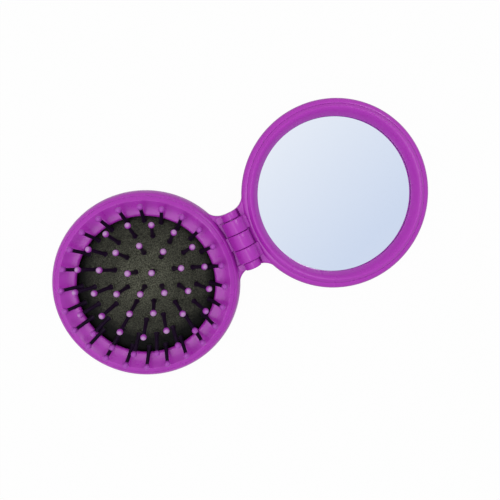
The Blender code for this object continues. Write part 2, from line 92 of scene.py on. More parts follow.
BRUSH_CENTRE = middle_of("pad_ring")
MIRROR_CENTRE = middle_of("mirror_bezel")
HINGE_HEIGHT = (top_of("hinge_pin") + bottom_of("hinge_pin")) / 2
HINGE_POINT = Vector((0, 0, HINGE_HEIGHT))

# Facets of the finished pieces
ROUND_STEPS = 192
PLATE_STEPS = 96
KNUCKLE_STEPS = 64
PIN_STEPS = 16
CORNER_STEPS = 3
DOME_STEPS = 48
SHOULDER_STEPS = 16

# Points that are closer than this are one
WELD = 0.0005 * MM

# Edges that bend by more than this are shaded as edges, and corners that turn by more than this are softened
SHARP_ANGLE = math.radians(40)
CORNER_ANGLE = math.radians(25)


def length(name, default, description):
    """A property for a size of a piece."""
    return FloatProperty(name=name, default=default, description=description, min=0, unit="LENGTH", precision=5)


def colour(name, default, description):
    """A property for a colour, written as an sRGB hex value."""
    return StringProperty(name=name, default=default, description=description)


class CaseSizes(bpy.types.PropertyGroup):
    """Sizes that both cases share, and those of each."""

    radius: length("Radius", 32.5 * MM, "Widest radius of either half")
    rim_radius: length("Rim radius", 30.3 * MM, "Radius at which the rounded side would level out")
    rim_crown: length("Rim crown", 10.9 * MM, "Height at which the rounded side would level out")
    socket_radius: length("Socket radius", 30.5 * MM, "Inner radius of the rim that takes the ring or the bezel")
    brush_flat_radius: length("Brush back", 28.0 * MM, "Radius of the brush half's flat back")
    brush_widest: length("Brush widest at", 6.0 * MM, "Height at which the brush half is widest")
    brush_floor: length("Brush floor", 1.6 * MM, "Thickness of the brush half's back")
    brush_ledge: length("Brush ledge", 6.5 * MM, "Height of the ledge under the pad ring")
    brush_cavity: length("Brush cavity", 29.4 * MM, "Inner radius of the brush half below its ledge")
    push_hole: length("Push hole", 12.5 * MM, "Radius of the finger hole in the back")
    rib_radius: length("Clamp rib", 26.4 * MM, "Inner radius of the rib that holds the cushion's edge")
    rib_thickness: length("Clamp rib wall", 1.6 * MM, "Thickness of that rib")
    rib_top: length("Clamp rib top", 5.0 * MM, "Height of that rib's top")
    mirror_flat_radius: length("Mirror back", 27.5 * MM, "Radius of the mirror half's flat back")
    mirror_widest: length("Mirror widest at", 9.0 * MM, "Height at which the mirror half is widest")
    mirror_floor: length("Mirror floor", 1.8 * MM, "Thickness of the mirror half's back")
    mirror_ledge: length("Mirror ledge", 6.0 * MM, "Height of the ledge under the bezel")
    mirror_cavity: length("Mirror cavity", 28.8 * MM, "Inner radius of the mirror half below its ledge")
    rib_gauge: length("Tape rib wall", 1.4 * MM, "Thickness of the ribs behind the mirror")
    tape_rib_top: length("Tape rib top", 4.7 * MM, "Height of those ribs")
    inner_rib: length("Inner tape rib", 10.2 * MM, "Inner radius of the smaller rib")
    outer_rib: length("Outer tape rib", 22.5 * MM, "Inner radius of the larger rib")
    edge: length("Edge round", 0.25 * MM, "Radius of the moulded edges")
    seam: length("Seam", 0.03 * MM, "Gap that shows between a rim and the ring snapped into it")
    seam_edge: length("Seam edge", 0.06 * MM, "Width of the bevel on each side of that gap")
    crest_round: length("Crest round", 0.25 * MM, "Half width of the rounding on the rings' crests")
    crest_drop: length("Crest drop", 0.2 * MM, "Distance of the rings' rounded crests below the frame's own")


class HingeSizes(bpy.types.PropertyGroup):
    """Sizes of the knuckles and of the shoulders that carry them."""

    knuckle_radius: length("Knuckle radius", 3.8 * MM, "Radius of the three middle knuckles")
    outer_radius: length("Outer knuckle radius", 2.8 * MM, "Radius of the two outer knuckles")
    width: length("Hinge width", 20.6 * MM, "Width over all five knuckles")
    centre_width: length("Centre knuckle", 5.14 * MM, "Width of the centre knuckle")
    lid_width: length("Lid knuckle", 4.79 * MM, "Width of each of the mirror half's knuckles")
    play: length("Play", 0.16 * MM, "Gap that shows between neighbouring knuckles")
    swing_play: length("Swing play", 0.3 * MM, "Gap round a knuckle as it swings past the other half")
    facet: FloatProperty(name="Facet", default=0.4, description="Flatness of the slope on a knuckle's brush side")
    edge: length("Knuckle edge", 0.35 * MM, "Radius of the knuckles' rounded ends")
    bore_radius: length("Bore radius", 1.15 * MM, "Radius of the bore for the hinge pin")
    web_root: length("Web root", 31.1 * MM, "Distance of a web's root from its half's centre")
    web_gap: length("Web gap", 1.0 * MM, "Distance of a web's tip from the hinge axis")
    web_depth: length("Web depth", 2.8 * MM, "Height of a web")
    web_inset: length("Web inset", 0.12 * MM, "Distance of a web's sides inside the ends of its knuckle")
    brush_web_drop: length("Brush web drop", 2.0 * MM, "Drop of the brush half's webs below the hinge axis")
    mirror_web_drop: length("Mirror web drop", 0.6 * MM, "Drop of the mirror half's webs below the hinge axis")
    shoulder_inner: length("Shoulder root", 30.7 * MM, "Inner radius of a shoulder, inside the case's wall")
    shoulder_outer: length("Shoulder face", 32.3 * MM, "Radius at which a shoulder's fillets meet the case")
    fillet: length("Shoulder fillet", 6.0 * MM, "Radius of the concave fillets in plan")
    bottom: length("Shoulder bottom", 4.0 * MM, "Height of a shoulder's underside")
    brush_top: length("Brush shoulder top", 9.0 * MM, "Height of the brush half's shoulder")
    mirror_top: length("Mirror shoulder top", 10.0 * MM, "Height of the mirror half's shoulder")
    soft_edge: length("Shoulder edge", 0.7 * MM, "Radius of a shoulder's rounded edges")


class PadSizes(bpy.types.PropertyGroup):
    """Sizes of the pad ring, the cushion and the push plate."""

    crest: length("Crest", 1.5 * MM, "Distance of the ring's crest from its outer edge")
    opening: length("Opening", 23.7 * MM, "Radius of the opening for the pad")
    roll: length("Roll", 0.9 * MM, "Radius of the rolled edge round the opening")
    roll_top: length("Roll top", 10.0 * MM, "Height of that rolled edge")
    dome_radius: length("Dome radius", 26.2 * MM, "Radius at which the cushion's dome meets its clamped edge")
    dome_rise: length("Dome rise", 6.1 * MM, "Height of the popped-up dome above its edge")
    edge_height: length("Edge height", 6.5 * MM, "Height of the cushion's clamped edge")
    skin: length("Skin", 0.9 * MM, "Thickness of the rubber")
    socket_rise: length("Socket rise", 0.2 * MM, "Height of the rubber collar round each pin")
    socket_radius: length("Socket radius", 1.35 * MM, "Radius of that collar")
    grip_pitch: length("Grip pitch", 2.2 * MM, "Distance between the raised rings on the push plate")


class PinSizes(bpy.types.PropertyGroup):
    """Sizes of the pins and of the rings that they stand in."""

    reach: length("Length", 9.5 * MM, "Length of a pin above the cushion")
    radius: length("Shank radius", 0.65 * MM, "Radius of a pin's shank at its foot")
    neck_radius: length("Neck radius", 0.6 * MM, "Radius of a pin's shank under its ball")
    foot_radius: length("Foot radius", 0.95 * MM, "Radius of a pin's tapered foot")
    ball_radius: length("Ball radius", 1.04 * MM, "Radius of a pin's ball tip")
    head_radius: length("Head radius", 1.2 * MM, "Radius of the head under the cushion")
    head_thickness: length("Head thickness", 0.45 * MM, "Thickness of that head")
    head_drop: length("Head drop", 1.75 * MM, "Distance of that head below the cushion's top")
    ring_spacing: length("Ring spacing", 5.7 * MM, "Distance between rings of pins")
    outer_ring: length("Outer ring", 22.0 * MM, "Radius of the outermost ring of pins")
    phase: FloatProperty(
        name="Phase",
        default=math.radians(-24.3),
        description="Direction in which each ring has its first pin",
        subtype="ANGLE",
    )
    set_turn: FloatProperty(
        name="Set direction",
        default=math.radians(-115.4),
        description="Direction in which use has set the pins over",
        subtype="ANGLE",
    )


class MirrorSizes(bpy.types.PropertyGroup):
    """Sizes of the bezel and the mirror."""

    sight: length("Sight radius", 26.8 * MM, "Radius of the mirror that shows")
    crest: length("Crest", 1.1 * MM, "Distance of the bezel's crest from its outer edge")
    lip: length("Lip", 0.7 * MM, "Thickness of the lip over the mirror's edge")
    chamfer: length("Chamfer", 0.5 * MM, "Width of the mirror's ground edge")
    tape_hole: length("Tape hole", 9.0 * MM, "Inner radius of the foam tape")


class Finishes(bpy.types.PropertyGroup):
    """Colours, as sRGB hex values."""

    plastic: colour("Case plastic", "#AD2DB4", "Body colour of the cases, the ring and the bezel")
    plastic_deep: colour("Case plastic, deep", "#A528AC", "The same plastic where the pigment lies thicker")
    tip: colour("Pin tips", "#A038AC", "The balls on the pins")
    # The pin tips' end colour is a painted highlight
    tip_highlight: colour("Pin tips, worn end", "#B486BC", "The frosted end of each ball")
    nylon: colour("Pins", "#1A0522", "The pins' shanks and the push plate")
    rubber: colour("Cushion", "#26271F", "The rubber cushion")
    rubber_bloom: colour("Cushion bloom", "#6E6F60", "Pale specks in the rubber's grain")
    silver: colour("Mirror", "#F4F7FA", "The mirror's silvering")
    foam: colour("Foam tape", "#E6E6E0", "The tape behind the mirror")
    steel: colour("Hinge pin", "#C2C2C6", "The wire in the hinge")


class StageSettings(bpy.types.PropertyGroup):
    """The camera, the lights and the floor."""

    camera_place: FloatVectorProperty(
        name="Camera place",
        default=(1.53 * MM, 13.49 * MM, 172.07 * MM),
        description="Where the photograph was taken from",
        subtype="TRANSLATION",
        precision=5,
    )
    camera_turn: FloatVectorProperty(
        name="Camera turn",
        default=(math.radians(-5.753), math.radians(-2.649), math.radians(-25.376)),
        description="The camera's rotation",
        subtype="EULER",
    )
    lens: FloatProperty(name="Lens", default=34.1, description="Focal length in millimetres on a 36 mm sensor")
    floor_size: length("Floor", 3.0, "Width of the floor")
    daylight: FloatProperty(name="Daylight", default=0.84, description="Strength of the even light from overhead")
    low_light: FloatProperty(name="Low light", default=0.26, description="Strength of the even light from the sides")


class PocketBrushSettings(bpy.types.PropertyGroup):
    """All the settings of the object and its stage."""

    case: PointerProperty(type=CaseSizes)
    hinge: PointerProperty(type=HingeSizes)
    pad: PointerProperty(type=PadSizes)
    pins: PointerProperty(type=PinSizes)
    mirror: PointerProperty(type=MirrorSizes)
    finish: PointerProperty(type=Finishes)
    stage: PointerProperty(type=StageSettings)


# Materials


def linear(hex_value):
    """An sRGB hex value as a linear colour with full alpha."""
    parts = [int(hex_value[at : at + 2], 16) / 255 for at in (1, 3, 5)]
    return (*[part / 12.92 if part <= 0.04045 else ((part + 0.055) / 1.055) ** 2.4 for part in parts], 1.0)


def add_node(tree, kind, inputs=None, **settings):
    """Adds a node with its settings. An input that is given a socket is linked to it, and any other is set."""
    made = tree.nodes.new(kind)
    for name, value in settings.items():
        setattr(made, name, value)
    for key, value in (inputs or {}).items():
        if isinstance(value, bpy.types.NodeSocket):
            tree.links.new(value, made.inputs[key])
        else:
            made.inputs[key].default_value = value
    return made


def empty_tree(owner):
    """The node tree of a material or a world, with nothing in it."""
    owner.use_nodes = True
    owner.node_tree.nodes.clear()
    return owner.node_tree


# Attribute on the ball tips that places a painted highlight on their ends: height along the pin from the ball's
# middle, as a share of its radius, times the highlight's strength
HIGHLIGHT_ATTRIBUTE = "highlight_share"

# How bright the rubber stays at each share of the cushion's radius, counted from its brightest point, which lies this
# far from the cushion's middle. Near the middle this is bloom from use, with its brightest point moved towards the lit
# side as painted light. Towards the clamped edge it is painted shade, near black where the rubber sinks under the
# ring.
BLOOM_AND_SHADE = ((0.0, 1.0), (0.2, 0.88), (0.45, 0.56), (0.66, 0.47), (0.74, 0.23), (0.81, 0.05))
BLOOM_AND_LIGHT_OFFSET = Vector((2.3, 2.6, 0)) * MM


def per_size(size):
    """Noise scale that gives features of about this size on Object coordinates."""
    return 1 / size


def moulded_abs(tree, place, finish):
    """Glossy injection-moulded ABS: an even, saturated body colour under a near-smooth skin.

    The eye sees a faint flow mottle in the pigment, a slight orange peel in the highlights, which is drawn coarser
    than the real 0.1 mm so that it shows, and handling marks that dull the gloss in places.
    """
    flow = add_node(tree, "ShaderNodeTexNoise", {"Vector": place, "Scale": per_size(14 * MM), "Detail": 3.0})
    peel = add_node(tree, "ShaderNodeTexNoise", {"Vector": place, "Scale": per_size(0.7 * MM), "Detail": 2.0})
    wear_and_highlight = add_node(tree, "ShaderNodeTexNoise", {"Vector": place, "Scale": per_size(3 * MM), "Detail": 6.0})
    pigment = add_node(
        tree,
        "ShaderNodeMix",
        {"Factor": flow.outputs["Fac"], "A": linear(finish.plastic_deep), "B": linear(finish.plastic)},
        data_type="RGBA",
    )
    gloss = add_node(
        tree,
        "ShaderNodeMapRange",
        {"Value": wear_and_highlight.outputs["Fac"], "From Min": 0.35, "From Max": 0.75, "To Min": 0.26, "To Max": 0.38},
    )
    bump = add_node(tree, "ShaderNodeBump", {"Height": peel.outputs["Fac"], "Strength": 0.1, "Distance": 0.01 * MM})
    return {
        "Base Color": pigment.outputs[2],
        "Roughness": gloss.outputs["Result"],
        "IOR": 1.54,
        "Specular IOR Level": 0.37,
        "Normal": bump.outputs["Normal"],
    }


def ball_tip_plastic(tree, place, finish):
    """Dipped tips: a soft, slightly milky plastic over the end of each pin, with a painted highlight on each ball's
    end.
    """
    milk = add_node(tree, "ShaderNodeTexNoise", {"Vector": place, "Scale": per_size(0.8 * MM), "Detail": 2.0})
    highlight_mask = add_node(tree, "ShaderNodeAttribute", attribute_name=HIGHLIGHT_ATTRIBUTE)
    uneven = add_node(
        tree,
        "ShaderNodeMath",
        {0: milk.outputs["Fac"], 1: 0.3, 2: highlight_mask.outputs["Fac"]},
        operation="MULTIPLY_ADD",
    )
    # Painted highlight: each ball is drawn paler towards its end, most on the pins in the middle of the pad
    painted_highlight = add_node(
        tree,
        "ShaderNodeMapRange",
        {"Value": uneven.outputs["Value"], "From Min": 0.4, "From Max": 0.95, "To Min": 0.0, "To Max": 0.95},
        interpolation_type="SMOOTHSTEP",
    )
    tint = add_node(
        tree,
        "ShaderNodeMix",
        {"Factor": painted_highlight.outputs["Result"], "A": linear(finish.tip), "B": linear(finish.tip_highlight)},
        data_type="RGBA",
    )
    return {"Base Color": tint.outputs[2], "Roughness": 0.5, "IOR": 1.5}


def moulded_nylon(tree, place, finish):
    """Satin moulded nylon: near black with a purple cast, with a fine draw grain that breaks its highlights."""
    grain = add_node(tree, "ShaderNodeTexNoise", {"Vector": place, "Scale": per_size(0.5 * MM), "Detail": 3.0})
    shade = add_node(tree, "ShaderNodeMapRange", {"Value": grain.outputs["Fac"], "To Min": 0.75, "To Max": 1.3})
    tone = add_node(
        tree,
        "ShaderNodeHueSaturation",
        {"Color": linear(finish.nylon), "Fac": 1.0, "Value": shade.outputs["Result"]},
    )
    bump = add_node(tree, "ShaderNodeBump", {"Height": grain.outputs["Fac"], "Strength": 0.2, "Distance": 0.03 * MM})
    return {
        "Base Color": tone.outputs["Color"],
        "Roughness": 0.42,
        "IOR": 1.53,
        "Specular IOR Level": 0.2,
        "Normal": bump.outputs["Normal"],
    }


def moulded_rubber(tree, place, finish):
    """Matt moulded rubber with a spark-eroded grain: pale specks on a grey-olive black.

    Use brings a pale bloom out of the rubber near its middle, and the brightest point is moved towards the lit side as
    painted light. Towards the clamped edge the rubber is darkened to near black as painted shade. The real grain is
    about
    0.2 mm. It is drawn at 0.4 mm, the finest that shows at this distance.
    """
    # Painted light: the rubber's brightest point, moved off the middle towards the lit side
    brightest_point = BRUSH_CENTRE + BLOOM_AND_LIGHT_OFFSET
    centred = add_node(tree, "ShaderNodeVectorMath", {0: place, 1: brightest_point}, operation="SUBTRACT")
    in_plan = add_node(
        tree, "ShaderNodeVectorMath", {0: centred.outputs["Vector"], 1: (1.0, 1.0, 0.0)}, operation="MULTIPLY"
    )
    from_middle = add_node(tree, "ShaderNodeVectorMath", {0: in_plan.outputs["Vector"]}, operation="LENGTH")
    share = add_node(
        tree, "ShaderNodeMath", {0: from_middle.outputs["Value"], 1: radius_of("cushion")}, operation="DIVIDE"
    )
    # Painted shade: this ramp darkens the rubber to near black towards the clamped edge under the ring
    bloom = add_node(tree, "ShaderNodeValToRGB", {"Fac": share.outputs["Value"]})
    bloom.color_ramp.interpolation = "EASE"
    for position, _ in BLOOM_AND_SHADE[1:-1]:
        bloom.color_ramp.elements.new(position)
    for element, (position, grey) in zip(bloom.color_ramp.elements, BLOOM_AND_SHADE):
        element.position = position
        element.color = (grey, grey, grey, 1.0)
    grain = add_node(
        tree, "ShaderNodeTexNoise", {"Vector": place, "Scale": per_size(0.4 * MM), "Detail": 3.0, "Roughness": 0.7}
    )
    specks = add_node(
        tree,
        "ShaderNodeMapRange",
        {"Value": grain.outputs["Fac"], "From Min": 0.4, "From Max": 0.68, "To Min": 0.0, "To Max": 1.0},
    )
    tone = add_node(
        tree,
        "ShaderNodeMix",
        {"Factor": specks.outputs["Result"], "A": linear(finish.rubber), "B": linear(finish.rubber_bloom)},
        data_type="RGBA",
    )
    patch = add_node(tree, "ShaderNodeTexNoise", {"Vector": place, "Scale": per_size(8 * MM), "Detail": 2.0})
    cast = add_node(tree, "ShaderNodeMapRange", {"Value": patch.outputs["Fac"], "To Min": 0.8, "To Max": 1.2})
    tone_and_shade = add_node(
        tree, "ShaderNodeMath", {0: cast.outputs["Result"], 1: bloom.outputs["Color"]}, operation="MULTIPLY"
    )
    painted_light_tone = add_node(
        tree, "ShaderNodeHueSaturation", {"Color": tone.outputs[2], "Fac": 1.0, "Value": tone_and_shade.outputs["Value"]}
    )
    bump = add_node(tree, "ShaderNodeBump", {"Height": grain.outputs["Fac"], "Strength": 0.5, "Distance": 0.08 * MM})
    return {
        "Base Color": painted_light_tone.outputs["Color"],
        "Roughness": 0.75,
        "IOR": 1.5,
        "Specular IOR Level": 0.15,
        "Normal": bump.outputs["Normal"],
    }


def silvered_glass(tree, place, finish):
    """Silvered float glass: a clean mirror, with only a trace of haze from handling."""
    haze = add_node(tree, "ShaderNodeTexNoise", {"Vector": place, "Scale": per_size(18 * MM), "Detail": 4.0})
    rough = add_node(tree, "ShaderNodeMapRange", {"Value": haze.outputs["Fac"], "To Min": 0.015, "To Max": 0.05})
    return {"Base Color": linear(finish.silver), "Metallic": 1.0, "Roughness": rough.outputs["Result"]}


def foam_tape(tree, place, finish):
    """Closed-cell foam tape: chalky white, with its cells showing as small pits."""
    cells = add_node(tree, "ShaderNodeTexVoronoi", {"Vector": place, "Scale": per_size(0.5 * MM)})
    bump = add_node(
        tree, "ShaderNodeBump", {"Height": cells.outputs["Distance"], "Strength": 0.6, "Distance": 0.1 * MM}
    )
    return {"Base Color": linear(finish.foam), "Roughness": 0.85, "Normal": bump.outputs["Normal"]}


def drawn_steel(tree, place, finish):
    """Drawn steel wire: bright, with fine lines along its length."""
    along = add_node(tree, "ShaderNodeMapping", {"Vector": place, "Scale": (1.0, 0.05, 1.0)})
    lines = add_node(
        tree, "ShaderNodeTexNoise", {"Vector": along.outputs["Vector"], "Scale": per_size(0.1 * MM), "Detail": 2.0}
    )
    rough = add_node(tree, "ShaderNodeMapRange", {"Value": lines.outputs["Fac"], "To Min": 0.2, "To Max": 0.4})
    return {"Base Color": linear(finish.steel), "Metallic": 1.0, "Roughness": rough.outputs["Result"]}


# Each finish: its material's name, the function that gives its shader's inputs, and the record's slot it belongs to
FINISHES = {
    "purple_moulded_abs": (moulded_abs, "purple_plastic"),
    "dipped_ball_tip": (ball_tip_plastic, "purple_plastic"),
    "black_moulded_nylon": (moulded_nylon, "black_nylon"),
    "grained_black_rubber": (moulded_rubber, "black_rubber"),
    "silvered_float_glass": (silvered_glass, "mirror"),
    "white_foam_tape": (foam_tape, "foam_tape"),
    "drawn_steel_wire": (drawn_steel, "steel"),
}


def material_named(name):
    """The finish of that name, made when it is first asked for."""
    if name in bpy.data.materials:
        return bpy.data.materials[name]
    made = bpy.data.materials.new(name)
    tree = empty_tree(made)
    place = add_node(tree, "ShaderNodeTexCoord").outputs["Object"]
    make_inputs, _ = FINISHES[name]
    inputs = make_inputs(tree, place, bpy.context.scene.pocket_brush.finish)
    shader = add_node(tree, "ShaderNodeBsdfPrincipled", inputs)
    add_node(tree, "ShaderNodeOutputMaterial", {"Surface": shader.outputs["BSDF"]})
    return made


# Shapes


def finished_mesh(bm, name):
    """The mesh of bm, closed, facing out and shaded smooth up to the sharp angle."""
    bmesh.ops.remove_doubles(bm, verts=bm.verts, dist=WELD)
    bmesh.ops.recalc_face_normals(bm, faces=bm.faces)
    mesh = bpy.data.meshes.new(name)
    bm.to_mesh(mesh)
    bm.free()
    mesh.shade_smooth()
    mesh.set_sharp_from_angle(angle=SHARP_ANGLE)
    return mesh


def arc(centre, reach, start, end, steps):
    """Points on an ellipse about centre, from start to end in degrees, both ends included."""
    turns = [math.radians(start + (end - start) * step / steps) for step in range(steps + 1)]
    return [(centre[0] + reach[0] * math.cos(turn), centre[1] + reach[1] * math.sin(turn)) for turn in turns]


def sweep(start, leaving, arriving, end, steps):
    """Points on one smooth curve between two points, with a handle at each."""
    corners = [Vector(point) for point in (start, leaving, arriving, end)]
    return [tuple(point) for point in interpolate_bezier(*corners, steps + 1)]


def turn_profile(bm, profile, steps, closed=True):
    """Turns (radius, height) points about Z, inside bm."""
    points = [bm.verts.new((radius, 0, height)) for radius, height in profile]
    pairs = list(zip(points, points[1:]))
    if closed:
        pairs.append((points[-1], points[0]))
    edges = [bm.edges.new(pair) for pair in pairs]
    geom = points + edges
    bmesh.ops.spin(bm, geom=geom, cent=(0, 0, 0), axis=(0, 0, 1), angle=math.tau, steps=steps, use_merge=True)


def turned_mesh(name, profile, centre, steps=ROUND_STEPS, closed=True):
    """A turned piece with its axis through centre."""
    bm = bmesh.new()
    turn_profile(bm, profile, steps, closed)
    bmesh.ops.translate(bm, vec=centre, verts=bm.verts)
    return finished_mesh(bm, name)


# Length of a softened corner's handles, as a share of the way from the corner to the curve's ends
CORNER_START_SHARE = 0.45


def softened(profile, radius):
    """The closed profile with a small curve of about that radius in place of each corner off the axis."""
    made = []
    count = len(profile)
    for number, point in enumerate(profile):
        here = Vector(point)
        before = Vector(profile[number - 1]) - here
        after = Vector(profile[(number + 1) % count]) - here
        if here.x < WELD or (-before).angle(after) < CORNER_ANGLE:
            made.append(tuple(point))
            continue
        first = here + before.normalized() * min(radius, before.length / 2)
        last = here + after.normalized() * min(radius, after.length / 2)
        leaving, arriving = here.lerp(first, CORNER_START_SHARE), here.lerp(last, CORNER_START_SHARE)
        made += sweep(first, leaving, arriving, last, CORNER_STEPS)
    return made


def cylinder_on_y(name, radius, start, end, centre, edge=0.0, facet=0.0):
    """A cylinder along Y, with rounded rims where edge is given.

    facet flattens its upper -X quarter, from 0 for round to 1 for a flat slope.
    """
    bm = bmesh.new()
    depth = end - start
    bmesh.ops.create_cone(bm, cap_ends=True, segments=KNUCKLE_STEPS, radius1=radius, radius2=radius, depth=depth)
    if edge:
        rims = [each for each in bm.edges if len({vert.co.z > 0 for vert in each.verts}) == 1]
        bmesh.ops.bevel(bm, geom=rims, offset=edge, segments=3, profile=0.5, affect="EDGES", material=-1)
    bmesh.ops.rotate(bm, cent=(0, 0, 0), matrix=Matrix.Rotation(math.pi / 2, 3, "X"), verts=bm.verts)
    if facet:
        for vert in bm.verts:
            across, up = -vert.co.x, vert.co.z
            if across > WELD and up > WELD:
                share = 1 + facet * (math.hypot(across, up) / (across + up) - 1)
                vert.co.x *= share
                vert.co.z *= share
    bmesh.ops.translate(bm, vec=Vector((0, (start + end) / 2, 0)) + centre, verts=bm.verts)
    return finished_mesh(bm, name)


def block(name, outline, bottom, top, edge=0.0, edge_steps=3):
    """A plan outline between two heights, with its upper and lower edges rounded."""
    bm = bmesh.new()
    face = bm.faces.new([bm.verts.new((x, y, bottom)) for x, y in outline])
    raised = bmesh.ops.extrude_face_region(bm, geom=[face])["geom"]
    moved = [item for item in raised if isinstance(item, bmesh.types.BMVert)]
    bmesh.ops.translate(bm, vec=(0, 0, top - bottom), verts=moved)
    bmesh.ops.recalc_face_normals(bm, faces=bm.faces)
    if edge:
        flat = [each for each in bm.edges if abs(each.verts[0].co.z - each.verts[1].co.z) < WELD]
        bmesh.ops.bevel(bm, geom=flat, offset=edge, segments=edge_steps, profile=0.5, affect="EDGES", material=-1)
    return finished_mesh(bm, name)


def add_object(name, data):
    """A new object in the scene, for a mesh, a light or a camera."""
    obj = bpy.data.objects.new(name, data)
    bpy.context.scene.collection.objects.link(obj)
    return obj


def carve(mesh, steps):
    """The mesh after each (operation, other mesh) step of joining or cutting."""
    body = add_object(mesh.name, mesh)
    others = []
    for operation, other in steps:
        helper = add_object(other.name, other)
        others.append(helper)
        modifier = body.modifiers.new(other.name, "BOOLEAN")
        modifier.operation = operation
        modifier.solver = "EXACT"
        modifier.object = helper
    evaluated = body.evaluated_get(bpy.context.evaluated_depsgraph_get())
    made = bpy.data.meshes.new_from_object(evaluated)
    made.name = mesh.name
    for obj in [body, *others]:
        bpy.data.objects.remove(obj)
    made.shade_smooth()
    made.set_sharp_from_angle(angle=SHARP_ANGLE)
    return made


def show_piece(name, mesh, finish, body, *stands_for):
    """Puts a finished mesh in the scene: it rides on a body and stands for CAD nodes."""
    obj = add_object(name, mesh)
    mesh.materials.clear()
    mesh.materials.append(material_named(finish))
    if body:
        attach(obj, body)
    if stands_for:
        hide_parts(*stands_for)
    return obj


# The two cases


def rim_height(case, widest):
    """Height of a case's rounded side where it meets the socket of the rim."""
    share = (case.socket_radius - case.rim_radius) / (case.radius - case.rim_radius)
    return widest + (case.rim_crown - widest) * math.sqrt(1 - share**2)


def case_side(case, flat_radius, widest):
    """Outer side of a case, from the edge of its flat back round its widest ring to the bevel of its rim."""
    lower = arc((flat_radius, widest), (case.radius - flat_radius, widest), -90, 0, steps=24)
    run = case.radius - case.rim_radius
    end = math.degrees(math.acos((case.socket_radius + case.seam_edge - case.rim_radius) / run))
    upper = arc((case.rim_radius, widest), (run, case.rim_crown - widest), 0, end, steps=20)
    return lower + upper[1:] + [(case.socket_radius, upper[-1][1] - case.seam_edge)]


# Where a ring's outer curve is still straight, as a share of the way from its rim to its crest
CREST_START_SHARE = 0.6


def snapped_ring(case, node, crest, widest):
    """Outer profile of a ring that snaps into a rim: from its seat up to its crest, all but flush with the rim."""
    outer = case.socket_radius - case.seam
    top = (outer - crest, top_of(node) - case.crest_drop)
    rim = rim_height(case, widest)
    corner = (outer - case.seam_edge, rim)
    leaving = Vector(corner).lerp(Vector(top), CREST_START_SHARE)
    arriving = (top[0] + case.crest_round, top[1])
    side = sweep(corner, leaving, arriving, top, steps=10)
    return [(outer, bottom_of(node)), (outer, rim - case.seam_edge), *side]


def knuckle_spans(hinge, brush):
    """(start, end, radius) along Y of the knuckles on one half."""
    centre_edge = hinge.centre_width / 2
    lid_start = centre_edge + hinge.play
    lid_end = lid_start + hinge.lid_width
    if not brush:
        return [(-lid_end, -lid_start, hinge.knuckle_radius), (lid_start, lid_end, hinge.knuckle_radius)]
    outer_start = lid_end + hinge.play
    return [
        (-centre_edge, centre_edge, hinge.knuckle_radius),
        (-hinge.width / 2, -outer_start, hinge.outer_radius),
        (outer_start, hinge.width / 2, hinge.outer_radius),
    ]


def shoulder_outline(hinge, centre_x):
    """Plan of a shoulder, from inside the case's wall through concave fillets to the hinge's full width."""
    side = math.copysign(1, centre_x)
    fillet_y = hinge.width / 2 + hinge.fillet
    fillet_run = math.sqrt((hinge.shoulder_outer + hinge.fillet) ** 2 - fillet_y**2)
    spread = math.degrees(math.atan2(fillet_y, fillet_run))
    fillet_centre = (centre_x - side * fillet_run, fillet_y)
    upper = arc(fillet_centre, (side * hinge.fillet, -hinge.fillet), spread, 90, SHOULDER_STEPS)
    lower = [(x, -y) for x, y in reversed(upper)]
    root = hinge.shoulder_inner
    inner = arc((centre_x, 0), (-side * root, root), -spread, spread, 2 * SHOULDER_STEPS)
    return upper + lower + inner


def with_hinge(mesh, case, hinge, centre, shoulder_top):
    """A case with its shoulder, knuckles and bore."""
    centre_x = centre.x
    side = math.copysign(1, centre_x)
    label = mesh.name
    half_width = hinge.width / 2
    overrun = hinge.swing_play + half_width
    swing_radius = hinge.knuckle_radius + hinge.swing_play
    outline = shoulder_outline(hinge, centre_x)
    shoulder = block(f"{label}_shoulder", outline, hinge.bottom, shoulder_top, hinge.soft_edge, edge_steps=4)
    swing = cylinder_on_y(f"{label}_swing", swing_radius, -overrun, overrun, HINGE_POINT)
    steps = [("UNION", shoulder), ("DIFFERENCE", swing)]
    web_top = HINGE_HEIGHT - (hinge.brush_web_drop if side < 0 else hinge.mirror_web_drop)
    root = centre_x - side * hinge.web_root
    tip = side * hinge.web_gap
    for number, (start, end, radius) in enumerate(knuckle_spans(hinge, side < 0)):
        barrel = cylinder_on_y(f"{label}_barrel_{number}", radius, start, end, HINGE_POINT, hinge.edge, hinge.facet)
        near, far = start + hinge.web_inset, end - hinge.web_inset
        outline = [(root, near), (tip, near), (tip, far), (root, far)]
        web = block(f"{label}_web_{number}", outline, web_top - hinge.web_depth, web_top, case.edge)
        steps += [("UNION", web), ("UNION", barrel)]
    bore = cylinder_on_y(f"{label}_bore", hinge.bore_radius, -overrun, overrun, HINGE_POINT)
    return carve(mesh, steps + [("DIFFERENCE", bore)])


class POCKETBRUSH_OT_brush_case(bpy.types.Operator):
    """Make the brush half's case, with three of the hinge's knuckles."""

    bl_idname = "pocketbrush.brush_case"
    bl_label = "Brush Case"

    def execute(self, context):
        settings = context.scene.pocket_brush
        case = settings.case
        rib_outer = case.rib_radius + case.rib_thickness
        inner = [
            (case.socket_radius, case.brush_ledge),
            (case.brush_cavity, case.brush_ledge),
            (case.brush_cavity, case.brush_floor),
            (rib_outer, case.brush_floor),
            (rib_outer, case.rib_top),
            (case.rib_radius, case.rib_top),
            (case.rib_radius, case.brush_floor),
            (case.push_hole, case.brush_floor),
            (case.push_hole, 0),
        ]
        profile = case_side(case, case.brush_flat_radius, case.brush_widest) + inner
        mesh = turned_mesh("brush_case_shell", softened(profile, case.edge), BRUSH_CENTRE)
        mesh = with_hinge(mesh, case, settings.hinge, BRUSH_CENTRE, settings.hinge.brush_top)
        show_piece("brush_case_shell", mesh, "purple_moulded_abs", "brush_half", "brush_case")
        return {"FINISHED"}


